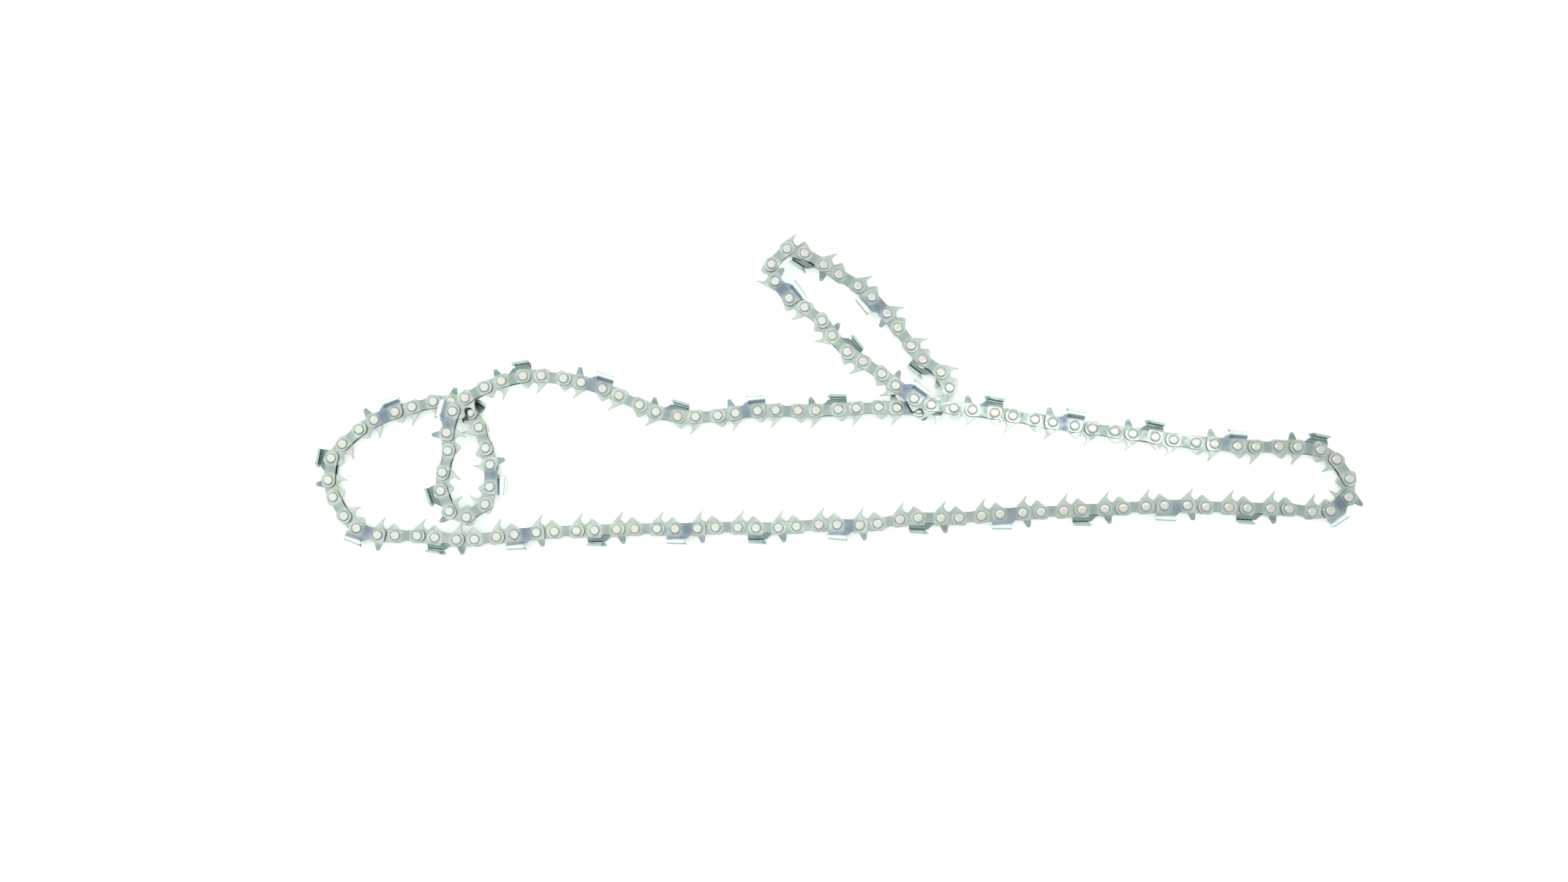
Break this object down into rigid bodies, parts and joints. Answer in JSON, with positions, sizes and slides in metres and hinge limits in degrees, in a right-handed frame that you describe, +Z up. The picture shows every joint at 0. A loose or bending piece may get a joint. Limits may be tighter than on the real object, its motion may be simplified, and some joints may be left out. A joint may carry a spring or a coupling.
{
  "type": "saw chain loop",
  "caption": "Closed loop of saw chain lying on its side in a long bight with two curls: hooked drive links, tie straps and left and right cutters, riveted so that each link turns on the next.",
  "frame": {"origin": "on the table under the middle of the lay", "axes": "+X along the length of the lay, +Y across it towards the tilted curl, +Z up out of the chain's side plates"},
  "size_m": [0.492, 0.1534, 0.014],
  "materials": {
    "chain_steel": "oiled, softly polished",
    "cutter_chrome": "satin chrome plate",
    "rivet_steel": "peened bright"
  },
  "bodies": {
    "bottom_left_length": {"bottom_run_a": "chain_steel", "bottom_run_b": "chain_steel", "bottom_run_c": "chain_steel"},
    "bottom_d_length": {"bottom_run_d": "chain_steel"},
    "bottom_e_length": {"bottom_run_e": "chain_steel"},
    "bottom_f_length": {"bottom_run_f": "chain_steel"},
    "bottom_g_length": {"bottom_run_g": "chain_steel"},
    "bottom_h_length": {"bottom_run_h": "chain_steel"},
    "bottom_right_length": {"bottom_run_i": "chain_steel", "bottom_run_j": "chain_steel", "bottom_run_k": "chain_steel"},
    "lower_rear_link": {"lower_rear_drive_link": "chain_steel"},
    "lower_tie_link": {"lower_tie_strap_top": "chain_steel", "lower_tie_strap_under": "chain_steel", "lower_tie_rivet_rear": "rivet_steel", "lower_tie_rivet_front": "rivet_steel"},
    "lower_front_link": {"lower_front_drive_link": "chain_steel"},
    "lower_cutter_link": {"lower_cutter": "cutter_chrome", "lower_cutter_tie_strap": "chain_steel", "lower_cutter_rivet_rear": "rivet_steel", "lower_cutter_rivet_front": "rivet_steel"},
    "bottom_l_length": {"bottom_run_l": "chain_steel"},
    "nose_length": {"nose_turn": "chain_steel"},
    "top_a_length": {"top_run_a": "chain_steel"},
    "upper_tie_link": {"upper_tie_strap_top": "chain_steel", "upper_tie_strap_under": "chain_steel", "upper_tie_rivet_rear": "rivet_steel", "upper_tie_rivet_front": "rivet_steel"},
    "upper_front_link": {"upper_front_drive_link": "chain_steel"},
    "upper_cutter_link": {"upper_cutter": "cutter_chrome", "upper_cutter_tie_strap": "chain_steel", "upper_cutter_rivet_rear": "rivet_steel", "upper_cutter_rivet_front": "rivet_steel"},
    "upper_rear_link": {"upper_rear_drive_link": "chain_steel"},
    "top_length": {"top_run_b": "chain_steel", "top_run_c": "chain_steel", "top_run_d": "chain_steel", "top_run_e": "chain_steel"},
    "tilted_left_length": {"tilted_curl_left": "chain_steel"},
    "tilted_tip_length": {"tilted_curl_tip": "chain_steel"},
    "tilted_right_length": {"tilted_curl_right": "chain_steel"},
    "tilted_exit_length": {"tilted_curl_exit": "chain_steel"},
    "middle_a_length": {"middle_run_a": "chain_steel"},
    "middle_cutter_body": {"middle_cutter_link": "chain_steel"},
    "middle_b_length": {"middle_run_b": "chain_steel"},
    "middle_drive_body": {"middle_drive_link": "chain_steel"},
    "middle_c_length": {"middle_run_c": "chain_steel"},
    "middle_left_length": {"middle_run_d": "chain_steel", "middle_run_e": "chain_steel", "middle_run_f": "chain_steel"},
    "small_left_length": {"small_curl_left": "chain_steel"},
    "small_bottom_length": {"small_curl_bottom": "chain_steel"},
    "small_right_length": {"small_curl_right": "chain_steel"},
    "small_drive_body": {"small_curl_drive_link": "chain_steel"},
    "small_exit_length": {"small_curl_exit": "chain_steel"},
    "left_length": {"left_run_a": "chain_steel", "left_run_b": "chain_steel"},
    "left_turn_length": {"left_turn": "chain_steel"},
    "left_foot_length": {"left_foot": "chain_steel"}
  },
  "joints": [
    {"name": "middle_outer_swing", "type": "hinge", "parent": "bottom_left_length", "child": "bottom_d_length", "pos_m": [-0.06238, -0.06381, 0.00371], "axis": [0, 0, 1], "range_deg": [-6, 6]},
    {"name": "middle_outer_follow_1", "type": "hinge", "parent": "bottom_d_length", "child": "bottom_e_length", "pos_m": [-0.04335, -0.06329, 0.00371], "axis": [0, 0, 1], "range_deg": [-6, 6]},
    {"name": "middle_swing", "type": "hinge", "parent": "bottom_e_length", "child": "bottom_f_length", "pos_m": [-0.0243, -0.06338, 0.00371], "axis": [0, 0, 1], "range_deg": [-5, 5]},
    {"name": "middle_follow_1", "type": "hinge", "parent": "bottom_f_length", "child": "bottom_g_length", "pos_m": [0.01373, -0.06215, 0.00371], "axis": [0, 0, 1], "range_deg": [-5, 5]},
    {"name": "middle_inner_swing", "type": "hinge", "parent": "bottom_g_length", "child": "bottom_h_length", "pos_m": [0.03256, -0.0594, 0.00371], "axis": [0, 0, 1], "range_deg": [-5, 5]},
    {"name": "middle_inner_follow_1", "type": "hinge", "parent": "bottom_h_length", "child": "bottom_right_length", "pos_m": [0.06012, -0.05861, 0.00371], "axis": [0, 0, 1], "range_deg": [-5, 5]},
    {"name": "lower_link_rear_swing", "type": "hinge", "parent": "bottom_right_length", "child": "lower_rear_link", "pos_m": [0.16566, -0.05246, 0.00371], "axis": [0, 0, 1], "range_deg": [-12, 12]},
    {"name": "lower_link_rear_follow_1", "type": "hinge", "parent": "lower_rear_link", "child": "lower_tie_link", "pos_m": [0.17419, -0.05308, 0.00371], "axis": [0, 0, 1], "range_deg": [-12, 12]},
    {"name": "lower_link_front_swing", "type": "hinge", "parent": "lower_tie_link", "child": "lower_front_link", "pos_m": [0.18469, -0.05333, 0.00371], "axis": [0, 0, 1], "range_deg": [-12, 12]},
    {"name": "lower_link_front_follow_1", "type": "hinge", "parent": "lower_front_link", "child": "lower_cutter_link", "pos_m": [0.19323, -0.0536, 0.00371], "axis": [0, 0, 1], "range_deg": [-12, 12]},
    {"name": "nose_swing", "type": "hinge", "parent": "lower_cutter_link", "child": "bottom_l_length", "pos_m": [0.20373, -0.05375, 0.00371], "axis": [0, 0, 1], "range_deg": [-10, 10]},
    {"name": "nose_follow_1", "type": "hinge", "parent": "bottom_l_length", "child": "nose_length", "pos_m": [0.22269, -0.05533, 0.00371], "axis": [0, 0, 1], "range_deg": [-10, 10]},
    {"name": "nose_follow_2", "type": "hinge", "parent": "nose_length", "child": "top_a_length", "pos_m": [0.22732, -0.02644, 0.00371], "axis": [0, 0, 1], "range_deg": [-10, 10]},
    {"name": "nose_follow_3", "type": "hinge", "parent": "top_a_length", "child": "upper_tie_link", "pos_m": [0.20836, -0.02487, 0.00371], "axis": [0, 0, 1], "range_deg": [-10, 10]},
    {"name": "lower_link_front_follow_2", "type": "hinge", "parent": "upper_tie_link", "child": "upper_front_link", "pos_m": [0.19787, -0.02498, 0.00371], "axis": [0, 0, 1], "range_deg": [-12, 12]},
    {"name": "lower_link_front_follow_3", "type": "hinge", "parent": "upper_front_link", "child": "upper_cutter_link", "pos_m": [0.18932, -0.02471, 0.00371], "axis": [0, 0, 1], "range_deg": [-12, 12]},
    {"name": "lower_link_rear_follow_2", "type": "hinge", "parent": "upper_cutter_link", "child": "upper_rear_link", "pos_m": [0.17886, -0.02374, 0.00371], "axis": [0, 0, 1], "range_deg": [-12, 12]},
    {"name": "lower_link_rear_follow_3", "type": "hinge", "parent": "upper_rear_link", "child": "top_length", "pos_m": [0.17034, -0.02312, 0.00371], "axis": [0, 0, 1], "range_deg": [-12, 12]},
    {"name": "tilted_curl_swing", "type": "hinge", "parent": "top_length", "child": "tilted_left_length", "pos_m": [0.01525, 0.01435, 0.01031], "axis": [0, 0, 1], "range_deg": [-10, 10]},
    {"name": "tilted_curl_follow_1", "type": "hinge", "parent": "tilted_left_length", "child": "tilted_tip_length", "pos_m": [-0.026, 0.05274, 0.0086], "axis": [0, 0, 1], "range_deg": [-10, 10]},
    {"name": "tilted_curl_follow_2", "type": "hinge", "parent": "tilted_tip_length", "child": "tilted_right_length", "pos_m": [-0.00337, 0.0612, 0.00646], "axis": [0, 0, 1], "range_deg": [-10, 10]},
    {"name": "tilted_curl_follow_3", "type": "hinge", "parent": "tilted_right_length", "child": "tilted_exit_length", "pos_m": [0.03788, 0.02282, 0.00393], "axis": [0, 0, 1], "range_deg": [-10, 10]},
    {"name": "middle_inner_follow_2", "type": "hinge", "parent": "tilted_exit_length", "child": "middle_a_length", "pos_m": [0.03128, -0.00681, 0.00371], "axis": [0, 0, 1], "range_deg": [-5, 5]},
    {"name": "middle_inner_follow_3", "type": "hinge", "parent": "middle_a_length", "child": "middle_cutter_body", "pos_m": [0.00372, -0.00759, 0.00371], "axis": [0, 0, 1], "range_deg": [-5, 5]},
    {"name": "middle_follow_2", "type": "hinge", "parent": "middle_cutter_body", "child": "middle_b_length", "pos_m": [-0.00677, -0.00808, 0.00371], "axis": [0, 0, 1], "range_deg": [-5, 5]},
    {"name": "middle_follow_3", "type": "hinge", "parent": "middle_b_length", "child": "middle_drive_body", "pos_m": [-0.04481, -0.00931, 0.00371], "axis": [0, 0, 1], "range_deg": [-5, 5]},
    {"name": "middle_outer_follow_2", "type": "hinge", "parent": "middle_drive_body", "child": "middle_c_length", "pos_m": [-0.05328, -0.01042, 0.00371], "axis": [0, 0, 1], "range_deg": [-6, 6]},
    {"name": "middle_outer_follow_3", "type": "hinge", "parent": "middle_c_length", "child": "middle_left_length", "pos_m": [-0.07231, -0.01094, 0.00386], "axis": [0, 0, 1], "range_deg": [-6, 6]},
    {"name": "small_curl_swing", "type": "hinge", "parent": "middle_left_length", "child": "small_left_length", "pos_m": [-0.18085, -0.01927, 0.00931], "axis": [0, 0, 1], "range_deg": [-8, 4]},
    {"name": "small_curl_follow_1", "type": "hinge", "parent": "small_left_length", "child": "small_bottom_length", "pos_m": [-0.18258, -0.03802, 0.00915], "axis": [0, 0, 1], "range_deg": [-4, 8]},
    {"name": "small_curl_follow_2", "type": "hinge", "parent": "small_bottom_length", "child": "small_right_length", "pos_m": [-0.16271, -0.05298, 0.00651], "axis": [0, 0, 1], "range_deg": [-8, 4]},
    {"name": "small_curl_follow_3", "type": "hinge", "parent": "small_right_length", "child": "small_drive_body", "pos_m": [-0.16098, -0.03423, 0.00492], "axis": [0, 0, 1], "range_deg": [-4, 8]},
    {"name": "left_end_swing", "type": "hinge", "parent": "small_drive_body", "child": "small_exit_length", "pos_m": [-0.16348, -0.02608, 0.00429], "axis": [0, 0, 1], "range_deg": [-6, 6]},
    {"name": "left_end_follow_1", "type": "hinge", "parent": "small_exit_length", "child": "left_length", "pos_m": [-0.17159, -0.009, 0.00371], "axis": [0, 0, 1], "range_deg": [-6, 6]},
    {"name": "left_end_follow_2", "type": "hinge", "parent": "left_length", "child": "left_turn_length", "pos_m": [-0.23886, -0.04136, 0.00371], "axis": [0, 0, 1], "range_deg": [-6, 6]},
    {"name": "left_end_follow_3", "type": "hinge", "parent": "left_turn_length", "child": "left_foot_length", "pos_m": [-0.23075, -0.05844, 0.00371], "axis": [0, 0, 1], "range_deg": [-6, 6]}
  ],
  "couplings": [
    {"joint": "middle_outer_follow_1", "follows": "middle_outer_swing", "ratio": -1},
    {"joint": "middle_outer_follow_2", "follows": "middle_outer_swing", "ratio": 1},
    {"joint": "middle_outer_follow_3", "follows": "middle_outer_swing", "ratio": -1},
    {"joint": "middle_follow_1", "follows": "middle_swing", "ratio": -1},
    {"joint": "middle_follow_2", "follows": "middle_swing", "ratio": 1},
    {"joint": "middle_follow_3", "follows": "middle_swing", "ratio": -1},
    {"joint": "middle_inner_follow_1", "follows": "middle_inner_swing", "ratio": -1},
    {"joint": "middle_inner_follow_2", "follows": "middle_inner_swing", "ratio": 1},
    {"joint": "middle_inner_follow_3", "follows": "middle_inner_swing", "ratio": -1},
    {"joint": "lower_link_rear_follow_1", "follows": "lower_link_rear_swing", "ratio": -1},
    {"joint": "lower_link_rear_follow_2", "follows": "lower_link_rear_swing", "ratio": 1},
    {"joint": "lower_link_rear_follow_3", "follows": "lower_link_rear_swing", "ratio": -1},
    {"joint": "lower_link_front_follow_1", "follows": "lower_link_front_swing", "ratio": -1},
    {"joint": "lower_link_front_follow_2", "follows": "lower_link_front_swing", "ratio": 1},
    {"joint": "lower_link_front_follow_3", "follows": "lower_link_front_swing", "ratio": -1},
    {"joint": "nose_follow_1", "follows": "nose_swing", "ratio": -1},
    {"joint": "nose_follow_2", "follows": "nose_swing", "ratio": 1},
    {"joint": "nose_follow_3", "follows": "nose_swing", "ratio": -1},
    {"joint": "tilted_curl_follow_1", "follows": "tilted_curl_swing", "ratio": -1},
    {"joint": "tilted_curl_follow_2", "follows": "tilted_curl_swing", "ratio": 1},
    {"joint": "tilted_curl_follow_3", "follows": "tilted_curl_swing", "ratio": -1},
    {"joint": "small_curl_follow_1", "follows": "small_curl_swing", "ratio": -1},
    {"joint": "small_curl_follow_2", "follows": "small_curl_swing", "ratio": 1},
    {"joint": "small_curl_follow_3", "follows": "small_curl_swing", "ratio": -1},
    {"joint": "left_end_follow_1", "follows": "left_end_swing", "ratio": -1},
    {"joint": "left_end_follow_2", "follows": "left_end_swing", "ratio": 1},
    {"joint": "left_end_follow_3", "follows": "left_end_swing", "ratio": -1}
  ]
}
